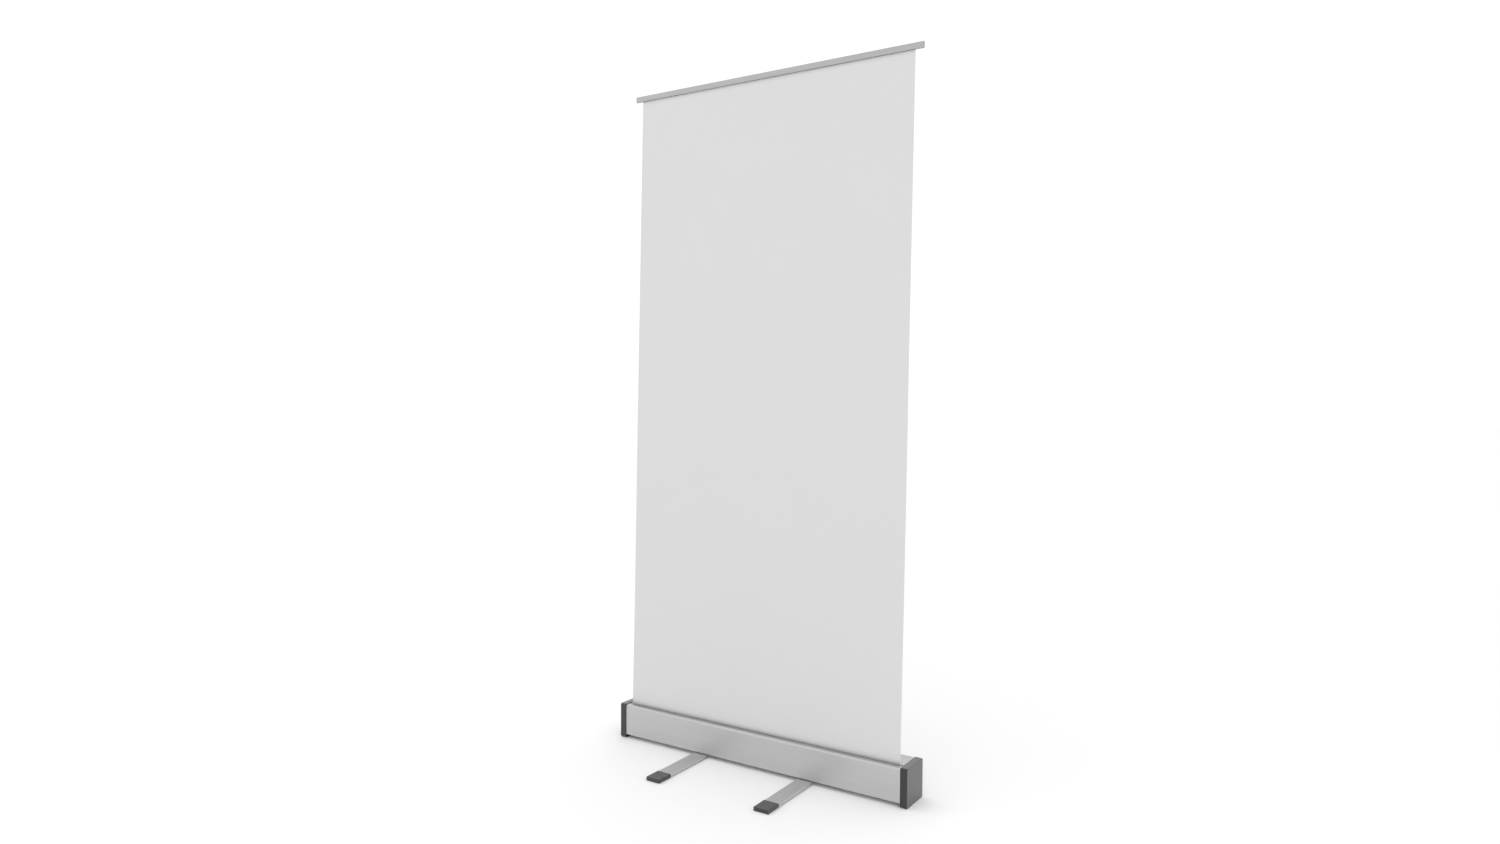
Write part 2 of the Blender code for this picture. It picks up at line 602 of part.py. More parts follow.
def make_rail(carriage):
    """Rail, its plugs and the rod round which the banner's edge is wrapped."""
    middle = (0.0, 0.0, SHEET_TO_RAIL)
    end = BANNER_WIDTH / 2 + RAIL_OVERHANG
    half = end - RAIL_PLUG_THICKNESS - GAP
    rail = extrude_section([rail_outline()], -half, half)
    add_piece("top_rail", rail, "satin_aluminium", carriage, middle)
    pocket_z = -RAIL_HEIGHT / 2 + RAIL_SLOT_DEPTH + RAIL_POCKET_RADIUS
    rod_half = half - RAIL_PLUG_PEG - GAP
    rod = turned(rod_profile(ROD_RADIUS, -rod_half, rod_half), 14, "X")
    add_piece("banner_grip_rod", rod, "pale_nylon", carriage, (0.0, 0.0, SHEET_TO_RAIL + pocket_z))
    thick = RAIL_THICKNESS / 2
    for side, name in ((-1, "left"), (1, "right")):
        outline = rounded_box_outline((-thick, -RAIL_HEIGHT / 2), (thick, RAIL_HEIGHT / 2),
                                      RAIL_EDGE_RADIUS, 3)
        start = side * (half + GAP)
        face = extrude_section([outline], start, side * end)
        round_rim(face, side * end, RAIL_PLUG_EDGE)
        plug = add_piece(name + "_rail_plug", face, "satin_aluminium", carriage, middle)
        peg = circle_outline((0.0, pocket_z), ROD_RADIUS, 12)
        tip = side * (half - RAIL_PLUG_PEG)
        root = start + side * RAIL_PLUG_THICKNESS / 2
        join_shape(plug, extrude_section([peg], tip, root), name + "_rail_peg")


# ---------------------------------------------------------------- feet
def foot_bar_shape():
    """Flat tube along Y between the two end blocks, about the pivot."""
    front = -FOOT_REACH + BLOCK_LENGTH + GAP
    rear = FOOT_TAIL - BLOCK_LENGTH - GAP
    half = FOOT_WIDTH / 2
    wall = FOOT_BAR_WALL
    outer = rounded_box_outline((-half, FOOT_BAR_RISE), (half, FOOT_TOP), FOOT_BAR_CORNER, 3)
    inner = rounded_box_outline((-half + wall, FOOT_BAR_RISE + wall), (half - wall, FOOT_TOP - wall),
                                FOOT_BAR_INNER_CORNER, 1)
    shape = extrude_section([outer, inner], front, rear)
    bmesh.ops.rotate(shape, cent=(0, 0, 0), matrix=Matrix.Rotation(math.pi / 2, 3, "Z"),
                     verts=shape.verts)
    return shape


def foot_block_shape():
    """End block of a foot, with its inner face at Y = 0 and its spigot towards +Y."""
    size = (FOOT_WIDTH, BLOCK_LENGTH, BLOCK_HEIGHT)
    return rounded_block(size, (0.0, -BLOCK_LENGTH / 2, BLOCK_HEIGHT / 2), BLOCK_EDGE, 3)


def add_spigot(block):
    play = FOOT_BAR_WALL + GAP
    width = FOOT_WIDTH - 2 * play
    height = FOOT_BAR_THICKNESS - 2 * play
    length = BLOCK_SPIGOT_LENGTH + BLOCK_SPIGOT_ROOT
    centre = (0.0, BLOCK_SPIGOT_LENGTH - length / 2, FOOT_BAR_RISE + FOOT_BAR_THICKNESS / 2)
    spigot = rounded_block((width, length, height), centre, BLOCK_SPIGOT_EDGE, 1)
    join_shape(block, spigot, block.name + "_spigot")


def make_foot(pivot, case, name, side):
    bar = add_piece(name + "_foot_bar", foot_bar_shape(), "foot_aluminium", pivot)
    hole = turned(rod_profile(BOLT_RADIUS + GAP, FOOT_BAR_RISE - CUT_OVERRUN, FOOT_TOP + CUT_OVERRUN),
                  16)
    cut_with(bar, hole, name + "_foot_bar_hole")
    front_y = -FOOT_REACH + BLOCK_LENGTH
    rear_y = FOOT_TAIL - BLOCK_LENGTH
    front = add_piece(name + "_foot_front_block", foot_block_shape(), "block_rubber", pivot,
                      (0.0, front_y, 0.0))
    add_spigot(front)
    rear = add_piece(name + "_foot_rear_block", foot_block_shape(), "block_rubber", pivot,
                     (0.0, rear_y, 0.0), math.pi)
    add_spigot(rear)

    spot = (side * FOOT_PIVOT_SPACING / 2, 0.0, 0.0)
    nut_low = CHAMBER_FLOOR + GAP
    nut_high = nut_low + NUT_HEIGHT
    head_high = FOOT_BAR_RISE - GAP
    head_low = head_high - BOLT_HEAD_HEIGHT
    bolt_end = nut_high + BOLT_END
    bolt = [(0.0, head_low), (BOLT_HEAD_RADIUS - BOLT_HEAD_EDGE, head_low),
            (BOLT_HEAD_RADIUS, head_high), (BOLT_RADIUS, head_high), (BOLT_RADIUS, bolt_end),
            (0.0, bolt_end)]
    add_piece(name + "_foot_bolt", turned(bolt, 20), "zinc_steel", case, spot)
    washer = tube_profile(WASHER_RADIUS, BOLT_RADIUS + GAP, FOOT_TOP + GAP, CASE_FLOOR - GAP)
    add_piece(name + "_foot_washer", turned(washer, 28), "pale_nylon", case, spot)
    hexagon = circle_outline((0.0, 0.0), NUT_RADIUS, 6)
    thread = circle_outline((0.0, 0.0), BOLT_RADIUS + GAP, 18)
    nut = extrude_section([hexagon, thread], nut_low, nut_high, "XY")
    add_piece(name + "_foot_nut", nut, "zinc_steel", case, spot)


# ---------------------------------------------------------------- pole
def make_socket(case):
    bore = POLE_RADIUS + GAP
    flange_low = CASE_TOP + GAP
    flange_high = flange_low + SOCKET_FLANGE
    profile = [(0.0, SOCKET_BOTTOM), (SOCKET_RADIUS, SOCKET_BOTTOM), (SOCKET_RADIUS, flange_low),
               (SOCKET_FLANGE_RADIUS, flange_low),
               (SOCKET_FLANGE_RADIUS, flange_high - SOCKET_FLANGE_EDGE),
               (SOCKET_FLANGE_RADIUS - SOCKET_FLANGE_EDGE, flange_high), (bore, flange_high),
               (bore, SOCKET_BOTTOM + SOCKET_WALL), (0.0, SOCKET_BOTTOM + SOCKET_WALL)]
    add_piece("pole_socket", turned(profile, 32), "dark_plastic", case, (0.0, POLE_SETBACK, 0.0))


def make_pole_section(frame, name):
    """One tube of the pole; its frame stands at the tube's lower end."""
    tube = tube_profile(POLE_RADIUS, POLE_BORE, 0.0, POLE_SECTION - GAP)
    add_piece(name, turned(tube, 28), "satin_aluminium", frame)


def make_ferrule(frame, name):
    """Spigot fixed in the top of the tube below, reaching half its length into the next."""
    outer = POLE_BORE - GAP
    low = POLE_SECTION - FERRULE_LENGTH / 2
    ferrule = tube_profile(outer, outer - FERRULE_WALL, low, low + FERRULE_LENGTH)
    add_piece(name, turned(ferrule, 24), "zinc_steel", frame)


def make_pole(lower, middle, upper):
    for frame, name in ((lower, "pole_lower"), (middle, "pole_middle"), (upper, "pole_upper")):
        make_pole_section(frame, name)
    make_ferrule(lower, "lower_ferrule")
    make_ferrule(middle, "upper_ferrule")

    plug_outer = POLE_BORE - GAP
    plug = [(0.0, 0.0), (plug_outer, 0.0), (plug_outer, POLE_PLUG_LENGTH), (0.0, POLE_PLUG_LENGTH)]
    add_piece("pole_foot_plug", turned(plug, 20), "dark_plastic", lower)

    hook_root = POLE_SECTION - POLE_PLUG_LENGTH
    head_low = POLE_SECTION
    head_high = head_low + HOOK_HEAD - GAP
    hook = [(0.0, hook_root), (plug_outer, hook_root), (plug_outer, head_low),
            (POLE_RADIUS, head_low), (POLE_RADIUS, head_high - HOOK_HEAD_EDGE),
            (POLE_RADIUS - HOOK_HEAD_EDGE, head_high), (0.0, head_high)]
    top = add_piece("pole_top_hook", turned(hook, 28), "dark_plastic", upper)
    tongue_y = -POLE_RADIUS + HOOK_TONGUE_SETBACK + HOOK_TONGUE_THICKNESS / 2
    tongue_z = head_high + (HOOK_TONGUE_HEIGHT - HOOK_TONGUE_ROOT) / 2
    size = (HOOK_TONGUE_WIDTH, HOOK_TONGUE_THICKNESS, HOOK_TONGUE_HEIGHT + HOOK_TONGUE_ROOT)
    join_shape(top, rounded_block(size, (0.0, tongue_y, tongue_z), HOOK_TONGUE_EDGE, 1), "hook_tongue")

    cord_low = POLE_BOTTOM + POLE_PLUG_LENGTH + GAP
    cord_high = POLE_BOTTOM + 3 * POLE_SECTION - POLE_PLUG_LENGTH - GAP
    shift = POLE_BOTTOM + 2 * POLE_SECTION
    cord = turned(rod_profile(CORD_RADIUS, cord_low - shift, cord_high - shift), 8)
    add_piece("shock_cord", cord, "cord_elastic", upper)


# ---------------------------------------------------------------- the whole stand
def build_stand():
    clear_objects()
    case = frame_point("case_frame", (0.0, CASE_CENTRE_Y, 0.0))
    make_cassette(case)
    make_slot_guard(case)
    for side, name in ((-1, "left"), (1, "right")):
        make_end_plate(case, name, side)
        make_end_cover(case, name, side)
        pivot = frame_point(name + "_foot_pivot", (side * FOOT_PIVOT_SPACING / 2, CASE_CENTRE_Y, 0.0))
        make_foot(pivot, case, name, side)
    roller = frame_point("roller_axis", (0.0, ROLLER_Y, ROLLER_Z))
    make_roller(roller, case)

    plane = frame_point("sheet_plane", (0.0, SLOT_Y, CASE_TOP), LEAN)
    carriage = frame_point("rail_carriage", (0.0, SLOT_Y, CASE_TOP), LEAN)
    make_sheets(plane, carriage)
    make_rail(carriage)

    make_socket(case)
    lower = frame_point("pole_lower_frame", (0.0, POLE_Y, POLE_BOTTOM))
    middle = frame_point("pole_middle_frame", (0.0, 0.0, POLE_SECTION), parent=lower)
    upper = frame_point("pole_upper_frame", (0.0, 0.0, POLE_SECTION), parent=middle)
    make_pole(lower, middle, upper)


build_stand()
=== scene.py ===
"""Looks of the roll-up banner stand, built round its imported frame.

Every length is in metres in the frame's own axes: X along the cassette, -Y to the front, +Z up.
"""
import json
import math

import bmesh
import bpy
from mathutils import Matrix, Vector


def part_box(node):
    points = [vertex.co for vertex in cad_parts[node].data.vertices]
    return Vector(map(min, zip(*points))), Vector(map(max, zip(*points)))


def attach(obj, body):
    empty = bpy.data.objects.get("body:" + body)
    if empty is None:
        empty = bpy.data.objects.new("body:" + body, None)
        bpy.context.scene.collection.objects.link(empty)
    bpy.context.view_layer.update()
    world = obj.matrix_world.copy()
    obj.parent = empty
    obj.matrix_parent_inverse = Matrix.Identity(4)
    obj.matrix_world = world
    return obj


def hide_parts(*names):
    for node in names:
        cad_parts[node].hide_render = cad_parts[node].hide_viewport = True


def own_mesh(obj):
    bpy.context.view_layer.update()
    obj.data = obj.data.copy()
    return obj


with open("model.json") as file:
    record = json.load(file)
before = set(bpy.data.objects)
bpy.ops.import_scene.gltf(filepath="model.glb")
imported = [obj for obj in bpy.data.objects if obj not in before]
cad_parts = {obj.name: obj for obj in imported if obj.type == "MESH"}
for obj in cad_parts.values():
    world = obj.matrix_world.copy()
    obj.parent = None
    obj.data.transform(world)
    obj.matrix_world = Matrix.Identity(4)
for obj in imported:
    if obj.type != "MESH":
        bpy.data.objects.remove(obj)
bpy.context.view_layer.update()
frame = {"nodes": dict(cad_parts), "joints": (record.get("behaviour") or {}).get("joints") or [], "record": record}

# ---------------------------------------------------------------- sizes and places
MERGE = 0.00001                 # points of a copied node that count as one
FLAT_ANGLE = 0.4                # degrees; flatter edges than this are dissolved
CORNER = 30.0                   # degrees; a sharper edge is a corner, and gets rounded
EDGE_STEPS = 2

SHARP = 0.0                     # edge widths that the pieces' corners are rounded by
SOFT = 0.0001
FINE = 0.0002
BROKEN = 0.0003
MOULDED = 0.0004

FILM_THICKNESS = 0.0003
FILM_COLUMNS = 120
FILM_ROWS = 90
FILM_CURL = 0.0009              # how far the film's free edges curl back
FILM_CURL_WIDTH = 0.012
FILM_CURL_TOP = 0.52            # share of the height above which the rail holds it flat
FILM_WAVE = 0.0002              # how deep the film's broad waves are
FILM_WAVES_ACROSS = 11.0        # radians a metre
FILM_WAVES_ALONG = 5.3

SCREW_SEAT = 0.0003             # how far a head stands off its plate
SCREW_SHANK = 0.0012
SCREW_RECESS_WIDTH = 0.0008
SCREW_RECESS_DEPTH = 0.0010
SCREW_SUNK = 0.48               # share of the shank's length that its middle lies below the head
HEAD_SEGMENTS = 24
HEAD_RINGS = 12
SHANK_SIDES = 20
SPRING_WIRE = 0.0012
SPRING_TURNS = 26.0
SPRING_STEPS = 24               # points on each turn
SPRING_SIDES = 12

CAMERA_PLACE = (1.4259, -2.1928, 1.0311)
CAMERA_YAW = 33.086             # degrees, from +Y towards -X
CAMERA_PITCH = -2.166
CAMERA_ROLL = 0.266
CAMERA_LENS = 23.822
CAMERA_SENSOR = 36.0

SKY_STRENGTH = 1.06
FLOOR_SIZE = 60.0
FLOOR_SHADE = 0.947
FLOOR_LEVEL = -0.0002           # just under the feet
TOP_LIGHT = {"place": (-2.2, -0.4, 3.4), "target": (0.0, 0.0, 0.4), "size": 2.6, "power": 8.0}
FRONT_LIGHT = {"place": (0.9, -3.4, 1.5), "target": (0.0, 0.0, 0.6), "size": 2.0, "power": 9.0}

# directions that a pattern is drawn out along, as a stretch of each axis
ALONG_X = (0.02, 1.0, 1.0)
ALONG_Y = (1.0, 0.02, 1.0)
ALONG_Z = (1.0, 1.0, 0.02)

CASE_SHADE = (0.528, 0.528, 0.528)
RAIL_SHADE = (0.452, 0.452, 0.452)
FOOT_SHADE = (0.605, 0.605, 0.605)
COVER_SHADE = (0.0035, 0.0035, 0.0037)
BLOCK_SHADE = (0.014, 0.014, 0.0145)
TRIM_SHADE = (0.050, 0.050, 0.052)
SLOT_SHADE = (0.45, 0.45, 0.45)
FILM_SHADE = (0.632, 0.632, 0.632)
LEADER_SHADE = (0.52, 0.53, 0.55)
NYLON_SHADE = (0.60, 0.59, 0.55)
ZINC_SHADE = (0.55, 0.55, 0.55)
SPRING_SHADE = (0.22, 0.22, 0.23)
CORD_SHADE = (0.05, 0.05, 0.05)
DUST_SHADE = (0.30, 0.29, 0.28)

# how a finish varies over a surface: strengths are shares of a mix, tints are times its shade
ALUMINIUM_METALLIC = 0.85
LINE_STRENGTH = 0.16
LINE_TINT = 0.72
LINE_SMOOTHER = 0.05            # roughness that the drawn lines take off and put on
LINE_ROUGHER = 0.07
LINE_DEPTH = 0.00002
MARK_STRENGTH = 0.25
MARK_TINT = 1.35
MARK_ROUGHER = 0.10
PLASTIC_IOR = 1.6
SCUFF_STRENGTH = 0.22
SCUFF_TINT = 2.2
GRAIN_ROUGHER = 0.06
DUST_ROUGHER = 0.35
FILM_ROUGHNESS = 0.55
FILM_SPECULAR = 0.35
FILM_SHEEN = 0.08
WEAVE_SCALE = 420.0
WEAVE_STRENGTH = 0.10
WEAVE_TINT = 0.93
WEAVE_SHARE = 0.6               # of the film's relief; its coating is the rest
COAT_SCALE = 900.0
COAT_SMOOTHEST = 0.50
COAT_ROUGHEST = 0.62
FILM_RELIEF = 0.00003
STEEL_MARK_TINT = 0.6
STEEL_SMOOTHER = 0.04
STEEL_ROUGHER = 0.18
STEEL_GRAIN = 900.0
STEEL_DEPTH = 0.00001
BRAID_ROUGHNESS = 0.9
BRAID_ANGLE = 40.0              # degrees, of each spiral across the cord
BRAID_SCALE = 260.0
# painted shade in the grooves between the braid's strands: its share of the mix and its tint
BRAID_GROOVE_SHADE_SHARE = 0.6
BRAID_GROOVE_SHADE_TINT = 0.35
BRAID_DEPTH = 0.0003
FLOOR_ROUGHNESS = 0.7
FLOOR_SPECULAR = 0.2


# ---------------------------------------------------------------- shader groups
def new_group(name, inputs, outputs):
    """A shader node group with named sockets: (name, socket type, default value)."""
    group = bpy.data.node_groups.new(name, "ShaderNodeTree")
    for socket, kind, value in inputs:
        made = group.interface.new_socket(name=socket, in_out="INPUT", socket_type=kind)
        if value is not None:
            made.default_value = value
    for socket, kind in outputs:
        group.interface.new_socket(name=socket, in_out="OUTPUT", socket_type=kind)
    return group, group.nodes.new("NodeGroupInput"), group.nodes.new("NodeGroupOutput")


def maths(tree, operation, first, second=None, clamp=False):
    """A Math node; an argument is a number or a socket."""
    node = tree.nodes.new("ShaderNodeMath")
    node.operation = operation
    node.use_clamp = clamp
    for index, value in enumerate((first, second)):
        if value is None:
            continue
        if isinstance(value, (int, float)):
            node.inputs[index].default_value = value
        else:
            tree.links.new(value, node.inputs[index])
    return node.outputs[0]


def spread(tree, value, low, high, to_low=0.0, to_high=1.0):
    """Map a value from low..high to to_low..to_high, clamped and smoothed at both ends."""
    node = tree.nodes.new("ShaderNodeMapRange")
    node.interpolation_type = "SMOOTHSTEP"
    node.inputs["From Min"].default_value = low
    node.inputs["From Max"].default_value = high
    node.inputs["To Min"].default_value = to_low
    node.inputs["To Max"].default_value = to_high
    tree.links.new(value, node.inputs["Value"])
    return node.outputs["Result"]


def noise(tree, position, scale, detail=2.0, roughness=0.5):
    """A Noise Texture; its scale is a number or a socket."""
    node = tree.nodes.new("ShaderNodeTexNoise")
    node.inputs["Detail"].default_value = detail
    node.inputs["Roughness"].default_value = roughness
    if isinstance(scale, (int, float)):
        node.inputs["Scale"].default_value = scale
    else:
        tree.links.new(scale, node.inputs["Scale"])
    tree.links.new(position, node.inputs["Vector"])
    return node.outputs["Fac"]


def stretched(tree, position, stretch):
    """Position times a stretch vector, which may be a socket."""
    node = tree.nodes.new("ShaderNodeVectorMath")
    node.operation = "MULTIPLY"
    tree.links.new(position, node.inputs[0])
    if isinstance(stretch, tuple):
        node.inputs[1].default_value = stretch
    else:
        tree.links.new(stretch, node.inputs[1])
    return node.outputs["Vector"]


def drawn_lines_group():
    """Fine lines that a die or a brush leaves along one direction."""
    group, given, result = new_group(
        "drawn_lines",
        [("Position", "NodeSocketVector", None), ("Stretch", "NodeSocketVector", (0.02, 1.0, 1.0)),
         ("Fineness", "NodeSocketFloat", 900.0)],
        [("Lines", "NodeSocketFloat")])
    along = stretched(group, given.outputs["Position"], given.outputs["Stretch"])
    fine = noise(group, along, given.outputs["Fineness"], 3.0, 0.7)
    coarse = noise(group, along, maths(group, "MULTIPLY", given.outputs["Fineness"], 0.17), 1.0)
    both = maths(group, "ADD", maths(group, "MULTIPLY", fine, 0.7),
                 maths(group, "MULTIPLY", coarse, 0.3))
    group.links.new(spread(group, both, 0.30, 0.70), result.inputs["Lines"])
    return group


def tone_drift_group():
    """A colour that drifts a little lighter and darker over the surface."""
    group, given, result = new_group(
        "tone_drift",
        [("Position", "NodeSocketVector", None),
         ("Colour", "NodeSocketColor", (0.5, 0.5, 0.5, 1.0)),
         ("Scale", "NodeSocketFloat", 6.0), ("Depth", "NodeSocketFloat", 0.05)],
        [("Colour", "NodeSocketColor")])
    cloud = noise(group, given.outputs["Position"], given.outputs["Scale"], 4.0, 0.6)
    swing = maths(group, "MULTIPLY", maths(group, "SUBTRACT", cloud, 0.5),
                  maths(group, "MULTIPLY", given.outputs["Depth"], 4.0))
    mixer = group.nodes.new("ShaderNodeVectorMath")
    mixer.operation = "SCALE"
    group.links.new(given.outputs["Colour"], mixer.inputs[0])
    group.links.new(maths(group, "ADD", swing, 1.0), mixer.inputs["Scale"])
    group.links.new(mixer.outputs["Vector"], result.inputs["Colour"])
    return group


def moulded_grain_group():
    """The spark-eroded grain of a moulded surface."""
    group, given, result = new_group(
        "moulded_grain",
        [("Position", "NodeSocketVector", None), ("Scale", "NodeSocketFloat", 1600.0)],
        [("Height", "NodeSocketFloat")])
    cells = group.nodes.new("ShaderNodeTexVoronoi")
    cells.feature = "SMOOTH_F1"
    group.links.new(given.outputs["Position"], cells.inputs["Vector"])
    group.links.new(given.outputs["Scale"], cells.inputs["Scale"])
    fine = noise(group, given.outputs["Position"],
                 maths(group, "MULTIPLY", given.outputs["Scale"], 2.3), 2.0)
    both = maths(group, "ADD", cells.outputs["Distance"], maths(group, "MULTIPLY", fine, 0.6))
    group.links.new(both, result.inputs["Height"])
    return group


def handling_marks_group():
    """Faint scratches and rubbed places, as a mask."""
    group, given, result = new_group(
        "handling_marks",
        [("Position", "NodeSocketVector", None), ("Stretch", "NodeSocketVector", (1.0, 1.0, 1.0)),
         ("Scale", "NodeSocketFloat", 60.0), ("Amount", "NodeSocketFloat", 0.5)],
        [("Mask", "NodeSocketFloat")])
    along = stretched(group, given.outputs["Position"], given.outputs["Stretch"])
    thin = noise(group, along, maths(group, "MULTIPLY", given.outputs["Scale"], 9.0), 2.0, 0.8)
    where = noise(group, given.outputs["Position"], given.outputs["Scale"], 2.0)
    scratch = maths(group, "MULTIPLY", spread(group, thin, 0.60, 0.72),
                    spread(group, where, 0.48, 0.66))
    rubbed = maths(group, "MULTIPLY", spread(group, where, 0.55, 0.80), 0.35)
    both = maths(group, "MAXIMUM", scratch, rubbed)
    group.links.new(maths(group, "MULTIPLY", both, given.outputs["Amount"], clamp=True),
                    result.inputs["Mask"])
    return group


def floor_dust_group():
    """Dust that gathers on what stands near the floor, thinning out upwards."""
    group, given, result = new_group(
        "floor_dust",
        [("Position", "NodeSocketVector", None), ("Reach", "NodeSocketFloat", 0.03),
         ("Amount", "NodeSocketFloat", 0.5)],
        [("Mask", "NodeSocketFloat")])
    axes = group.nodes.new("ShaderNodeSeparateXYZ")
    group.links.new(given.outputs["Position"], axes.inputs["Vector"])
    height = maths(group, "DIVIDE", axes.outputs["Z"], given.outputs["Reach"])
    low = maths(group, "SUBTRACT", 1.0, height, clamp=True)
    specks = spread(group, noise(group, given.outputs["Position"], 420.0, 4.0, 0.75), 0.38, 0.72)
    mask = maths(group, "MULTIPLY", maths(group, "MULTIPLY", low, specks), given.outputs["Amount"])
    group.links.new(mask, result.inputs["Mask"])
    return group


GROUPS = {
    "drawn_lines": drawn_lines_group(),
    "tone_drift": tone_drift_group(),
    "moulded_grain": moulded_grain_group(),
    "handling_marks": handling_marks_group(),
    "floor_dust": floor_dust_group(),
}


# ---------------------------------------------------------------- materials
class Finish:
    """One material under construction: its tree, its shader and the piece's own coordinates."""

    def __init__(self, name, roughness, metallic, coordinates="Object"):
        self.material = bpy.data.materials.new(name)
        self.material.use_nodes = True
        self.tree = self.material.node_tree
        self.shader = self.tree.nodes["Principled BSDF"]
        self.shader.inputs["Roughness"].default_value = roughness
        self.shader.inputs["Metallic"].default_value = metallic
        source = self.tree.nodes.new("ShaderNodeTexCoord")
        self.position = source.outputs[coordinates]

    def group(self, name, **values):
        """Place a group on the piece's coordinates and set its named values."""
        node = self.tree.nodes.new("ShaderNodeGroup")
        node.node_tree = GROUPS[name]
        self.tree.links.new(self.position, node.inputs["Position"])
        for socket, value in values.items():
            if isinstance(value, bpy.types.NodeSocket):
                self.tree.links.new(value, node.inputs[socket])
            else:
                node.inputs[socket].default_value = value
        return node.outputs[0]

    def mix(self, mask, first, second):
        """Mix two colours by a mask; a colour is a socket or an RGB triple.

        A Mix node of colours has them on inputs 6 and 7, and its result on output 2.
        """
        node = self.tree.nodes.new("ShaderNodeMix")
        node.data_type = "RGBA"
        self.tree.links.new(mask, node.inputs["Factor"])
        for socket, value in ((node.inputs[6], first), (node.inputs[7], second)):
            if isinstance(value, tuple):
                socket.default_value = (*value, 1.0)
            else:
                self.tree.links.new(value, socket)
        return node.outputs[2]

    def set(self, socket, value):
        """Link a value that changes over the surface to the shader."""
        self.tree.links.new(value, self.shader.inputs[socket])

    def bump(self, height, distance, strength=1.0):
        """Raise the surface by a height, to a distance in metres."""
        node = self.tree.nodes.new("ShaderNodeBump")
        node.inputs["Strength"].default_value = strength
        node.inputs["Distance"].default_value = distance
        self.tree.links.new(height, node.inputs["Height"])
        self.tree.links.new(node.outputs["Normal"], self.shader.inputs["Normal"])


def anodised_aluminium(name, shade, roughness, stretch, fineness=900.0, wear=0.5):
    """Satin anodised aluminium with its drawing lines along one direction."""
    finish = Finish(name, roughness, ALUMINIUM_METALLIC)
    lines = finish.group("drawn_lines", Stretch=stretch, Fineness=fineness)
    tone = finish.group("tone_drift", Colour=(*shade, 1.0), Scale=5.0, Depth=0.02)
    marks = finish.group("handling_marks", Stretch=stretch, Scale=35.0, Amount=wear)
    darker = finish.mix(spread(finish.tree, lines, 0.0, 1.0, 0.0, LINE_STRENGTH), tone,
                        tuple(LINE_TINT * part for part in shade))
    lighter = finish.mix(spread(finish.tree, marks, 0.0, 1.0, 0.0, MARK_STRENGTH), darker,
                         tuple(min(1.0, MARK_TINT * part) for part in shade))
    finish.set("Base Color", lighter)
    drawn = spread(finish.tree, lines, 0.0, 1.0, roughness - LINE_SMOOTHER,
                   roughness + LINE_ROUGHER)
    rough = maths(finish.tree, "ADD", drawn, maths(finish.tree, "MULTIPLY", marks, MARK_ROUGHER))
    finish.set("Roughness", rough)
    finish.bump(lines, LINE_DEPTH, 0.5)
    return finish.material


def moulded_plastic(name, shade, roughness, grain, depth, dust=0.0, reach=0.05, sheen=0.0):
    """Moulded plastic or rubber with its grain, a few marks and dust near the floor."""
    finish = Finish(name, roughness, 0.0)
    finish.shader.inputs["IOR"].default_value = PLASTIC_IOR
    finish.shader.inputs["Sheen Weight"].default_value = sheen
    height = finish.group("moulded_grain", Scale=grain)
    tone = finish.group("tone_drift", Colour=(*shade, 1.0), Scale=18.0, Depth=0.05)
    marks = finish.group("handling_marks", Scale=70.0, Amount=0.6)
    dusty = finish.group("floor_dust", Reach=reach, Amount=dust)
    scuffed = finish.mix(spread(finish.tree, marks, 0.0, 1.0, 0.0, SCUFF_STRENGTH), tone,
                         tuple(min(1.0, SCUFF_TINT * part) for part in shade))
    finish.set("Base Color", finish.mix(dusty, scuffed, DUST_SHADE))
    grainy = spread(finish.tree, height, 0.2, 1.0, roughness - GRAIN_ROUGHER,
                    roughness + GRAIN_ROUGHER)
    dustier = maths(finish.tree, "MULTIPLY", dusty, DUST_ROUGHER)
    rough = maths(finish.tree, "ADD", grainy, dustier, clamp=True)
    finish.set("Roughness", rough)
    finish.bump(height, depth, 0.6)
    return finish.material


def banner_film(name, shade):
    """Blank print film: a tight weave below a matt coating, and a very slight cloudiness."""
    finish = Finish(name, FILM_ROUGHNESS, 0.0, "UV")
    finish.shader.inputs["Specular IOR Level"].default_value = FILM_SPECULAR
    finish.shader.inputs["Sheen Weight"].default_value = FILM_SHEEN
    threads = []
    for axis in ("X", "Y"):
        wave = finish.tree.nodes.new("ShaderNodeTexWave")
        wave.bands_direction = axis
        wave.inputs["Scale"].default_value = WEAVE_SCALE
        wave.inputs["Distortion"].default_value = 0.4
        wave.inputs["Detail"].default_value = 1.0
        finish.tree.links.new(finish.position, wave.inputs["Vector"])
        threads.append(wave.outputs["Fac"])
    weave = maths(finish.tree, "MULTIPLY", maths(finish.tree, "ADD", threads[0], threads[1]), 0.5)
    coat = noise(finish.tree, finish.position, COAT_SCALE, 3.0, 0.7)
    tone = finish.group("tone_drift", Colour=(*shade, 1.0), Scale=3.0, Depth=0.006)
    woven = spread(finish.tree, weave, 0.2, 0.8, 0.0, WEAVE_STRENGTH)
    finish.set("Base Color", finish.mix(woven, tone, tuple(WEAVE_TINT * part for part in shade)))
    finish.set("Roughness",
               spread(finish.tree, coat, 0.3, 0.7, COAT_SMOOTHEST, COAT_ROUGHEST))
    height = maths(finish.tree, "ADD", maths(finish.tree, "MULTIPLY", weave, WEAVE_SHARE),
                   maths(finish.tree, "MULTIPLY", coat, 1.0 - WEAVE_SHARE))
    finish.bump(height, FILM_RELIEF, 0.35)
    return finish.material


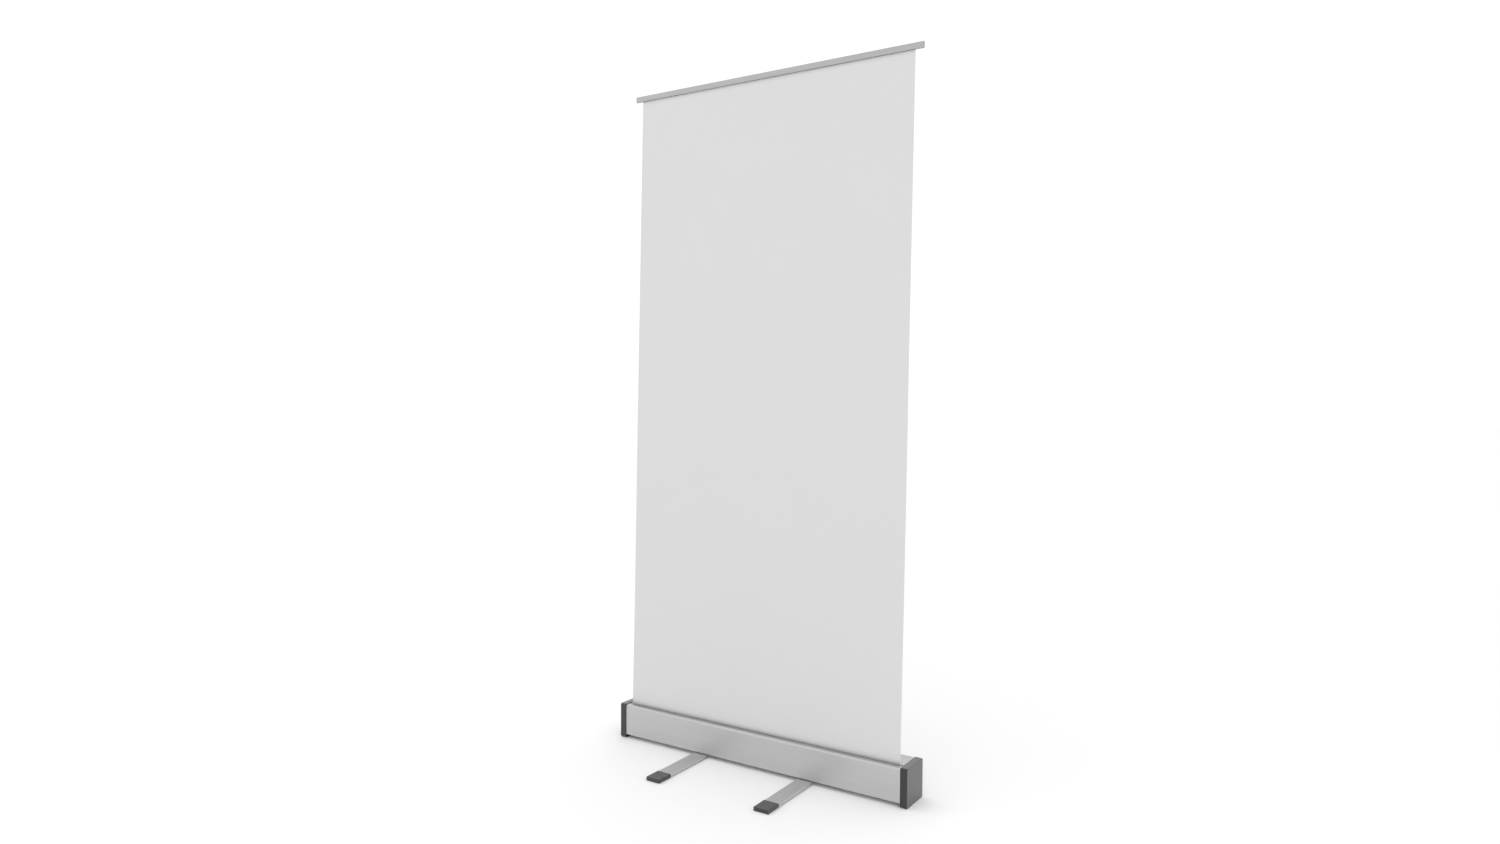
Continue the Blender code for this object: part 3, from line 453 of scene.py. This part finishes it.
def plated_steel(name, shade, roughness):
    """Zinc plated or oiled steel, with a mottled skin."""
    finish = Finish(name, roughness, 1.0)
    tone = finish.group("tone_drift", Colour=(*shade, 1.0), Scale=120.0, Depth=0.10)
    marks = finish.group("handling_marks", Scale=160.0, Amount=0.7)
    finish.set("Base Color",
               finish.mix(marks, tone, tuple(STEEL_MARK_TINT * part for part in shade)))
    finish.set("Roughness", spread(finish.tree, marks, 0.0, 1.0, roughness - STEEL_SMOOTHER,
                                   roughness + STEEL_ROUGHER))
    finish.bump(finish.group("moulded_grain", Scale=STEEL_GRAIN), STEEL_DEPTH, 0.4)
    return finish.material


def braided_cover(name, shade):
    """Braided textile cover of the elastic cord: two crossing spirals, with painted shade in the grooves between
    the strands.
    """
    finish = Finish(name, BRAID_ROUGHNESS, 0.0)
    spirals = []
    for turn in (BRAID_ANGLE, -BRAID_ANGLE):
        twist = finish.tree.nodes.new("ShaderNodeMapping")
        twist.inputs["Rotation"].default_value = (math.radians(turn), math.radians(turn), 0.0)
        finish.tree.links.new(finish.position, twist.inputs["Vector"])
        wave = finish.tree.nodes.new("ShaderNodeTexWave")
        wave.bands_direction = "Z"
        wave.inputs["Scale"].default_value = BRAID_SCALE
        finish.tree.links.new(twist.outputs["Vector"], wave.inputs["Vector"])
        spirals.append(wave.outputs["Fac"])
    braid = maths(finish.tree, "MAXIMUM", spirals[0], spirals[1])
    tone = finish.group("tone_drift", Colour=(*shade, 1.0), Scale=300.0, Depth=0.10)
    # painted shade: the grooves between the strands are mixed towards a darker tint
    between = spread(finish.tree, braid, 0.3, 0.9, BRAID_GROOVE_SHADE_SHARE, 0.0)
    finish.set("Base Color",
               finish.mix(between, tone, tuple(BRAID_GROOVE_SHADE_TINT * part for part in shade)))
    finish.bump(braid, BRAID_DEPTH, 0.8)
    return finish.material


def floor_material():
    """Pale studio floor with the faintest cloudiness."""
    finish = Finish("studio_floor", FLOOR_ROUGHNESS, 0.0)
    finish.shader.inputs["Specular IOR Level"].default_value = FLOOR_SPECULAR
    shade = (FLOOR_SHADE, FLOOR_SHADE, FLOOR_SHADE)
    tone = finish.group("tone_drift", Colour=(*shade, 1.0), Scale=0.7, Depth=0.003)
    finish.set("Base Color", tone)
    return finish.material


MATERIALS = {
    "case_aluminium": anodised_aluminium("case_aluminium", CASE_SHADE, 0.42, ALONG_X),
    "rail_aluminium": anodised_aluminium("rail_aluminium", RAIL_SHADE, 0.42, ALONG_X),
    "pole_aluminium": anodised_aluminium("pole_aluminium", CASE_SHADE, 0.34, ALONG_Z,
                                         fineness=1400.0),
    "foot_aluminium": anodised_aluminium("foot_aluminium", FOOT_SHADE, 0.45, ALONG_Y, wear=0.9),
    "cover_plastic": moulded_plastic("cover_plastic", COVER_SHADE, 0.16, grain=1500.0,
                                     depth=0.00002, dust=0.05, sheen=0.25),
    "trim_plastic": moulded_plastic("trim_plastic", TRIM_SHADE, 0.50, grain=1800.0,
                                    depth=0.00004),
    "slot_trim": moulded_plastic("slot_trim", SLOT_SHADE, 0.50, grain=1800.0, depth=0.00003),
    "block_rubber": moulded_plastic("block_rubber", BLOCK_SHADE, 0.22, grain=700.0,
                                    depth=0.00008, dust=0.06, reach=0.014, sheen=0.14),
    "banner_film": banner_film("banner_film", FILM_SHADE),
    "leader_film": moulded_plastic("leader_film", LEADER_SHADE, 0.35, grain=2200.0,
                                   depth=0.00001),
    "zinc_steel": plated_steel("zinc_steel", ZINC_SHADE, 0.34),
    "spring_steel": plated_steel("spring_steel", SPRING_SHADE, 0.30),
    "pale_nylon": moulded_plastic("pale_nylon", NYLON_SHADE, 0.48, grain=1300.0, depth=0.00003),
    "cord_cover": braided_cover("cord_cover", CORD_SHADE),
}


# ---------------------------------------------------------------- refined pieces
def body_of_node(node):
    """The body that a node moves with."""
    for body, members in frame["record"]["behaviour"]["bodies"].items():
        if node in members:
            return body
    raise KeyError(node)


def merged_copy(node):
    """A node's mesh as whole faces: its loose triangles joined, and flat ones made one face."""
    source = frame["nodes"][node].data
    mesh = bpy.data.meshes.new(node + "_refined")
    mesh.from_pydata([vertex.co[:] for vertex in source.vertices], [],
                     [polygon.vertices[:] for polygon in source.polygons])
    shape = bmesh.new()
    shape.from_mesh(mesh)
    bmesh.ops.remove_doubles(shape, verts=shape.verts, dist=MERGE)
    bmesh.ops.dissolve_limit(shape, angle_limit=math.radians(FLAT_ANGLE), verts=shape.verts,
                             edges=shape.edges, use_dissolve_boundaries=False)
    shape.to_mesh(mesh)
    shape.free()
    return mesh


def finish_piece(piece, node_or_nodes, body):
    """The calls that every finished piece gets: its body and the nodes it stands for."""
    nodes = [node_or_nodes] if isinstance(node_or_nodes, str) else node_or_nodes
    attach(piece, body)
    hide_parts(*nodes)


def refine(node, material, edge):
    """Stand a copy with rounded corners and smooth round faces in for a node."""
    mesh = merged_copy(node)
    mesh.materials.append(MATERIALS[material])
    mesh.shade_smooth()
    mesh.set_sharp_from_angle(angle=math.radians(CORNER))
    piece = bpy.data.objects.new(node + "_refined", mesh)
    bpy.context.scene.collection.objects.link(piece)
    if edge > 0.0:
        rounding = piece.modifiers.new("rounding", "BEVEL")
        rounding.limit_method = "ANGLE"
        rounding.angle_limit = math.radians(CORNER)
        rounding.width = edge
        rounding.segments = EDGE_STEPS
        rounding.harden_normals = True
        rounding.use_clamp_overlap = True
    flatness = piece.modifiers.new("flat_faces_shade_flat", "WEIGHTED_NORMAL")
    flatness.weight = 100
    flatness.keep_sharp = True
    finish_piece(piece, node, body_of_node(node))
    return piece


REFINED = {
    "cassette_body": ("case_aluminium", BROKEN),
    "slot_guard": ("slot_trim", SOFT),
    "top_rail": ("rail_aluminium", BROKEN),
    "left_rail_plug": ("rail_aluminium", SHARP),
    "right_rail_plug": ("rail_aluminium", SHARP),
    "banner_grip_rod": ("pale_nylon", SHARP),
    "roller_tube": ("case_aluminium", FINE),
    "leader_wrap": ("leader_film", SHARP),
    "leader_run": ("leader_film", SHARP),
    "roller_spring_plug": ("pale_nylon", FINE),
    "roller_idler_plug": ("pale_nylon", FINE),
    "spring_shaft": ("zinc_steel", BROKEN),
    "idler_pin": ("zinc_steel", BROKEN),
    "spring_anchor": ("pale_nylon", BROKEN),
    "pole_socket": ("trim_plastic", FINE),
    "pole_lower": ("pole_aluminium", FINE),
    "pole_middle": ("pole_aluminium", FINE),
    "pole_upper": ("pole_aluminium", FINE),
    "lower_ferrule": ("zinc_steel", FINE),
    "upper_ferrule": ("zinc_steel", FINE),
    "pole_foot_plug": ("trim_plastic", FINE),
    "pole_top_hook": ("trim_plastic", FINE),
    "shock_cord": ("cord_cover", SHARP),
}
for side in ("left", "right"):
    REFINED[side + "_end_plate"] = ("zinc_steel", FINE)
    REFINED[side + "_end_cover"] = ("cover_plastic", MOULDED)
    REFINED[side + "_foot_bar"] = ("foot_aluminium", FINE)
    REFINED[side + "_foot_front_block"] = ("block_rubber", SHARP)
    REFINED[side + "_foot_rear_block"] = ("block_rubber", SHARP)
    REFINED[side + "_foot_bolt"] = ("zinc_steel", FINE)
    REFINED[side + "_foot_washer"] = ("pale_nylon", FINE)
    REFINED[side + "_foot_nut"] = ("zinc_steel", BROKEN)


# ---------------------------------------------------------------- banner
def rail_slide():
    """The rail's joint, with its direction down the banner and its travel."""
    for joint in frame["joints"]:
        if joint["name"] == "rail_travel":
            return Vector(joint["axis"]).normalized(), joint["range_m"][1]
    raise KeyError("rail_travel")


def film_offset(across, along, width, length):
    """How far the film stands back from its flat plane, from 0 at the slot and the rail."""
    held = math.sin(math.pi * min(1.0, along / length / FILM_CURL_TOP))
    edge = max(0.0, 1.0 - (width / 2 - abs(across)) / FILM_CURL_WIDTH)
    wave = (math.sin(across * FILM_WAVES_ACROSS + 0.6)
            * math.sin(along * FILM_WAVES_ALONG + 1.1))
    return held * (FILM_CURL * edge ** 2 + FILM_WAVE * wave)


def make_banner():
    """The film between the leader and the rail, with its free edges curled back a little."""
    low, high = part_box("banner_sheet")
    down, travel = rail_slide()
    up = -down
    back = Vector((0.0, up.z, -up.y))
    half_sheet = (high.y - low.y - (high.z - low.z) * up.y / up.z) / 2
    start = Vector((0.0, low.y + half_sheet, low.z))
    width = high.x - low.x
    length = (high.z - low.z) / up.z
    shape = bmesh.new()
    uv_layer = shape.loops.layers.uv.new("film")
    rows = []
    places = {}
    for row in range(FILM_ROWS + 1):
        along = length * row / FILM_ROWS
        line = []
        for column in range(FILM_COLUMNS + 1):
            share = 2.0 * column / FILM_COLUMNS - 1.0
            across = width / 2 * math.sin(share * math.pi / 2)
            stand = film_offset(across, along, width, length)
            place = start + up * along + back * stand + Vector((across, 0.0, 0.0))
            vertex = shape.verts.new(place)
            places[vertex] = (across, along)
            line.append(vertex)
        rows.append(line)
    for lower, upper in zip(rows, rows[1:]):
        for column in range(FILM_COLUMNS):
            corners = (lower[column], lower[column + 1], upper[column + 1], upper[column])
            face = shape.faces.new(corners)
            face.smooth = True
            for loop in face.loops:
                loop[uv_layer].uv = places[loop.vert]
    mesh = bpy.data.meshes.new("banner_film")
    shape.to_mesh(mesh)
    shape.free()
    mesh.materials.append(MATERIALS["banner_film"])
    piece = bpy.data.objects.new("banner_film", mesh)
    bpy.context.scene.collection.objects.link(piece)
    wall = piece.modifiers.new("film_thickness", "SOLIDIFY")
    wall.thickness = FILM_THICKNESS
    wall.offset = 0.0
    finish_piece(piece, "banner_sheet", "base")
    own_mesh(piece)
    return piece


# ---------------------------------------------------------------- screws and spring
def new_tree(name, inputs):
    """A geometry node tree with named size inputs, and its input and output nodes."""
    tree = bpy.data.node_groups.new(name, "GeometryNodeTree")
    tree.interface.new_socket(name="Geometry", in_out="INPUT", socket_type="NodeSocketGeometry")
    for socket, kind, value in inputs:
        made = tree.interface.new_socket(name=socket, in_out="INPUT", socket_type=kind)
        if value is not None:
            made.default_value = value
    tree.interface.new_socket(name="Geometry", in_out="OUTPUT", socket_type="NodeSocketGeometry")
    return tree, tree.nodes.new("NodeGroupInput"), tree.nodes.new("NodeGroupOutput")


def join(tree, output, node, socket):
    """Link an output to a node's socket by its name."""
    tree.links.new(output, node.inputs[socket])


def end_with(tree, given, result, geometry):
    """Realize the instances, give them their material and hand them on."""
    real = tree.nodes.new("GeometryNodeRealizeInstances")
    join(tree, geometry, real, "Geometry")
    painted = tree.nodes.new("GeometryNodeSetMaterial")
    join(tree, real.outputs["Geometry"], painted, "Geometry")
    join(tree, given.outputs["Material"], painted, "Material")
    smooth = tree.nodes.new("GeometryNodeSetShadeSmooth")
    join(tree, painted.outputs["Geometry"], smooth, "Geometry")
    angle = tree.nodes.new("GeometryNodeInputMeshEdgeAngle")
    rounder = tree.nodes.new("FunctionNodeCompare")
    rounder.operation = "LESS_THAN"
    rounder.inputs["B"].default_value = math.radians(CORNER)
    join(tree, angle.outputs["Unsigned Angle"], rounder, "A")
    smooth.domain = "EDGE"
    join(tree, rounder.outputs["Result"], smooth, "Shade Smooth")
    faces = tree.nodes.new("GeometryNodeSetShadeSmooth")
    join(tree, smooth.outputs["Geometry"], faces, "Geometry")
    join(tree, faces.outputs["Geometry"], result, "Geometry")


def grow(name, points, tree, values):
    """Run a tree on a set of points and return the result as a plain mesh object."""
    seed = bpy.data.meshes.new(name)
    seed.from_pydata(points, [], [])
    piece = bpy.data.objects.new(name, seed)
    bpy.context.scene.collection.objects.link(piece)
    grower = piece.modifiers.new(tree.name, "NODES")
    grower.node_group = tree
    for item in tree.interface.items_tree:
        if item.in_out == "INPUT" and item.name in values:
            grower[item.identifier] = values[item.name]
    bpy.context.view_layer.update()
    made = piece.evaluated_get(bpy.context.evaluated_depsgraph_get())
    mesh = bpy.data.meshes.new_from_object(made)
    piece.modifiers.clear()
    piece.data = mesh
    bpy.data.meshes.remove(seed)
    mesh.name = name
    return piece


def screw_tree():
    """Pan-head screws along X on every point, each with a cross recess."""
    tree, given, result = new_tree("cross_recess_screws", [
        ("Head Radius", "NodeSocketFloat", 0.0028), ("Head Height", "NodeSocketFloat", 0.0018),
        ("Shank Radius", "NodeSocketFloat", 0.0012), ("Shank Length", "NodeSocketFloat", 0.014),
        ("Recess Width", "NodeSocketFloat", 0.0008), ("Recess Depth", "NodeSocketFloat", 0.0010),
        ("Side", "NodeSocketFloat", 1.0), ("Material", "NodeSocketMaterial", None)])

    def offset(value):
        """A vector along Z from a length."""
        node = tree.nodes.new("ShaderNodeCombineXYZ")
        join(tree, value, node, "Z")
        return node.outputs["Vector"]

    def moved(geometry, shift):
        node = tree.nodes.new("GeometryNodeTransform")
        join(tree, geometry, node, "Geometry")
        join(tree, shift, node, "Translation")
        return node.outputs["Geometry"]

    head = tree.nodes.new("GeometryNodeMeshUVSphere")
    head.inputs["Segments"].default_value = HEAD_SEGMENTS
    head.inputs["Rings"].default_value = HEAD_RINGS
    join(tree, given.outputs["Head Radius"], head, "Radius")
    flat = tree.nodes.new("GeometryNodeTransform")
    join(tree, head.outputs["Mesh"], flat, "Geometry")
    squeeze = tree.nodes.new("ShaderNodeCombineXYZ")
    squeeze.inputs["X"].default_value = 1.0
    squeeze.inputs["Y"].default_value = 1.0
    join(tree, maths(tree, "DIVIDE", given.outputs["Head Height"], given.outputs["Head Radius"]),
         squeeze, "Z")
    join(tree, squeeze.outputs["Vector"], flat, "Scale")
    below = tree.nodes.new("GeometryNodeMeshCube")
    size = tree.nodes.new("ShaderNodeCombineXYZ")
    wide = maths(tree, "MULTIPLY", given.outputs["Head Radius"], 3.0)
    for axis in ("X", "Y", "Z"):
        join(tree, wide, size, axis)
    join(tree, size.outputs["Vector"], below, "Size")
    under = moved(below.outputs["Mesh"], offset(maths(tree, "MULTIPLY", wide, -0.5)))

    def cross_bar(turned_over):
        """One bar of the recess, across the head's top."""
        bar = tree.nodes.new("GeometryNodeMeshCube")
        bar_size = tree.nodes.new("ShaderNodeCombineXYZ")
        long_side = maths(tree, "MULTIPLY", given.outputs["Head Radius"], 1.1)
        join(tree, long_side, bar_size, "Y" if turned_over else "X")
        join(tree, given.outputs["Recess Width"], bar_size, "X" if turned_over else "Y")
        join(tree, maths(tree, "MULTIPLY", given.outputs["Recess Depth"], 2.0), bar_size, "Z")
        join(tree, bar_size.outputs["Vector"], bar, "Size")
        return moved(bar.outputs["Mesh"], offset(given.outputs["Head Height"]))

    cut = tree.nodes.new("GeometryNodeMeshBoolean")
    cut.operation = "DIFFERENCE"
    cut.solver = "EXACT"
    join(tree, flat.outputs["Geometry"], cut, "Mesh 1")
    for tool in (under, cross_bar(False), cross_bar(True)):
        tree.links.new(tool, cut.inputs["Mesh 2"])
    shank = tree.nodes.new("GeometryNodeMeshCylinder")
    shank.inputs["Vertices"].default_value = SHANK_SIDES
    join(tree, given.outputs["Shank Radius"], shank, "Radius")
    join(tree, given.outputs["Shank Length"], shank, "Depth")
    lowered = moved(shank.outputs["Mesh"],
                    offset(maths(tree, "MULTIPLY", given.outputs["Shank Length"], -SCREW_SUNK)))
    whole = tree.nodes.new("GeometryNodeMeshBoolean")
    whole.operation = "UNION"
    whole.solver = "EXACT"
    tree.links.new(lowered, whole.inputs["Mesh 2"])
    tree.links.new(cut.outputs["Mesh"], whole.inputs["Mesh 2"])
    placed = tree.nodes.new("GeometryNodeInstanceOnPoints")
    join(tree, given.outputs["Geometry"], placed, "Points")
    join(tree, whole.outputs["Mesh"], placed, "Instance")
    turn = tree.nodes.new("ShaderNodeCombineXYZ")
    join(tree, maths(tree, "MULTIPLY", given.outputs["Side"], math.pi / 2), turn, "Y")
    join(tree, turn.outputs["Vector"], placed, "Rotation")
    end_with(tree, given, result, placed.outputs["Instances"])
    return tree


def make_plate_screws(tree, side, name):
    """The four screws of one end plate."""
    nodes = [f"{name}_plate_screw_{number}" for number in range(1, 5)]
    plate_low, plate_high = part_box(name + "_end_plate")
    face = plate_high.x if side > 0 else plate_low.x
    points = []
    for node in nodes:
        low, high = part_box(node)
        points.append((face + side * SCREW_SEAT, (low.y + high.y) / 2, (low.z + high.z) / 2))
    low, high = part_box(nodes[0])
    length = high.x - low.x
    head_height = (high.x - face if side > 0 else face - low.x) - SCREW_SEAT
    values = {
        "Head Radius": (high.y - low.y) / 2, "Head Height": head_height,
        "Shank Radius": SCREW_SHANK, "Shank Length": length - head_height,
        "Recess Width": SCREW_RECESS_WIDTH, "Recess Depth": SCREW_RECESS_DEPTH,
        "Side": float(side), "Material": MATERIALS["zinc_steel"],
    }
    piece = grow(name + "_plate_screws", points, tree, values)
    finish_piece(piece, nodes, "base")


def spring_tree():
    """A coil of round wire along X."""
    tree, given, result = new_tree("torsion_coil", [
        ("Turns", "NodeSocketFloat", 26.0), ("Coil Radius", "NodeSocketFloat", 0.010),
        ("Wire Radius", "NodeSocketFloat", 0.0012), ("Length", "NodeSocketFloat", 0.3),
        ("Material", "NodeSocketMaterial", None)])
    path = tree.nodes.new("GeometryNodeCurveSpiral")
    path.inputs["Resolution"].default_value = SPRING_STEPS
    join(tree, given.outputs["Turns"], path, "Rotations")
    join(tree, given.outputs["Coil Radius"], path, "Start Radius")
    join(tree, given.outputs["Coil Radius"], path, "End Radius")
    join(tree, given.outputs["Length"], path, "Height")
    ring = tree.nodes.new("GeometryNodeCurvePrimitiveCircle")
    ring.inputs["Resolution"].default_value = SPRING_SIDES
    join(tree, given.outputs["Wire Radius"], ring, "Radius")
    wire = tree.nodes.new("GeometryNodeCurveToMesh")
    wire.inputs["Fill Caps"].default_value = True
    join(tree, path.outputs["Curve"], wire, "Curve")
    join(tree, ring.outputs["Curve"], wire, "Profile Curve")
    placed = tree.nodes.new("GeometryNodeInstanceOnPoints")
    join(tree, given.outputs["Geometry"], placed, "Points")
    join(tree, wire.outputs["Mesh"], placed, "Instance")
    placed.inputs["Rotation"].default_value = (0.0, math.pi / 2, 0.0)
    end_with(tree, given, result, placed.outputs["Instances"])
    return tree


def make_spring():
    """The torsion spring, grown inside its node's box."""
    low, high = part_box("torsion_spring")
    values = {
        "Turns": SPRING_TURNS, "Coil Radius": (high.z - low.z) / 2 - SPRING_WIRE,
        "Wire Radius": SPRING_WIRE, "Length": high.x - low.x - 2 * SPRING_WIRE,
        "Material": MATERIALS["spring_steel"],
    }
    points = [(low.x + SPRING_WIRE, (low.y + high.y) / 2, (low.z + high.z) / 2)]
    piece = grow("torsion_coil", points, spring_tree(), values)
    finish_piece(piece, "torsion_spring", "base")


# ---------------------------------------------------------------- studio
def make_floor():
    """A wide pale floor, which isn't part of the stand."""
    half = FLOOR_SIZE / 2
    mesh = bpy.data.meshes.new("studio_floor")
    corners = [(-half, -half, 0.0), (half, -half, 0.0), (half, half, 0.0), (-half, half, 0.0)]
    mesh.from_pydata(corners, [], [(0, 1, 2, 3)])
    mesh.materials.append(floor_material())
    floor = bpy.data.objects.new("studio_floor", mesh)
    bpy.context.scene.collection.objects.link(floor)
    floor.location = (0.0, 0.0, FLOOR_LEVEL)


def soft_light(name, place, target, size, power):
    """A square soft box that faces a target."""
    lamp = bpy.data.lights.new(name, "AREA")
    lamp.shape = "SQUARE"
    lamp.size = size
    lamp.energy = power
    box = bpy.data.objects.new(name, lamp)
    bpy.context.scene.collection.objects.link(box)
    box.location = place
    box.visible_camera = False
    box.rotation_euler = (Vector(target) - Vector(place)).to_track_quat("-Z", "Y").to_euler()


def make_studio():
    """A white surround and two soft boxes."""
    world = bpy.data.worlds.new("white_studio")
    bpy.context.scene.world = world
    world.use_nodes = True
    sky = world.node_tree.nodes["Background"]
    sky.inputs["Color"].default_value = (1.0, 1.0, 1.0, 1.0)
    sky.inputs["Strength"].default_value = SKY_STRENGTH
    soft_light("top_soft_box", **TOP_LIGHT)
    soft_light("front_soft_box", **FRONT_LIGHT)
    bpy.context.scene.view_settings.view_transform = "Standard"


def make_camera():
    """The camera, turned by its yaw, pitch and roll."""
    yaw, pitch, roll = (math.radians(value) for value in (CAMERA_YAW, CAMERA_PITCH, CAMERA_ROLL))
    forward = Vector((-math.sin(yaw) * math.cos(pitch), math.cos(yaw) * math.cos(pitch),
                      math.sin(pitch)))
    level = Vector((math.cos(yaw), math.sin(yaw), 0.0))
    upright = level.cross(forward)
    right = level * math.cos(roll) + upright * math.sin(roll)
    up = upright * math.cos(roll) - level * math.sin(roll)
    data = bpy.data.cameras.new("camera")
    data.lens = CAMERA_LENS
    data.sensor_width = CAMERA_SENSOR
    camera = bpy.data.objects.new("camera", data)
    bpy.context.scene.collection.objects.link(camera)
    turned = Matrix((right, up, -forward)).transposed().to_4x4()
    camera.matrix_world = Matrix.Translation(CAMERA_PLACE) @ turned
    bpy.context.scene.camera = camera


make_camera()
make_studio()
make_floor()
for node_name, (material_name, edge_width) in REFINED.items():
    refine(node_name, material_name, edge_width)
screws = screw_tree()
make_plate_screws(screws, -1, "left")
make_plate_screws(screws, 1, "right")
make_spring()
make_banner()
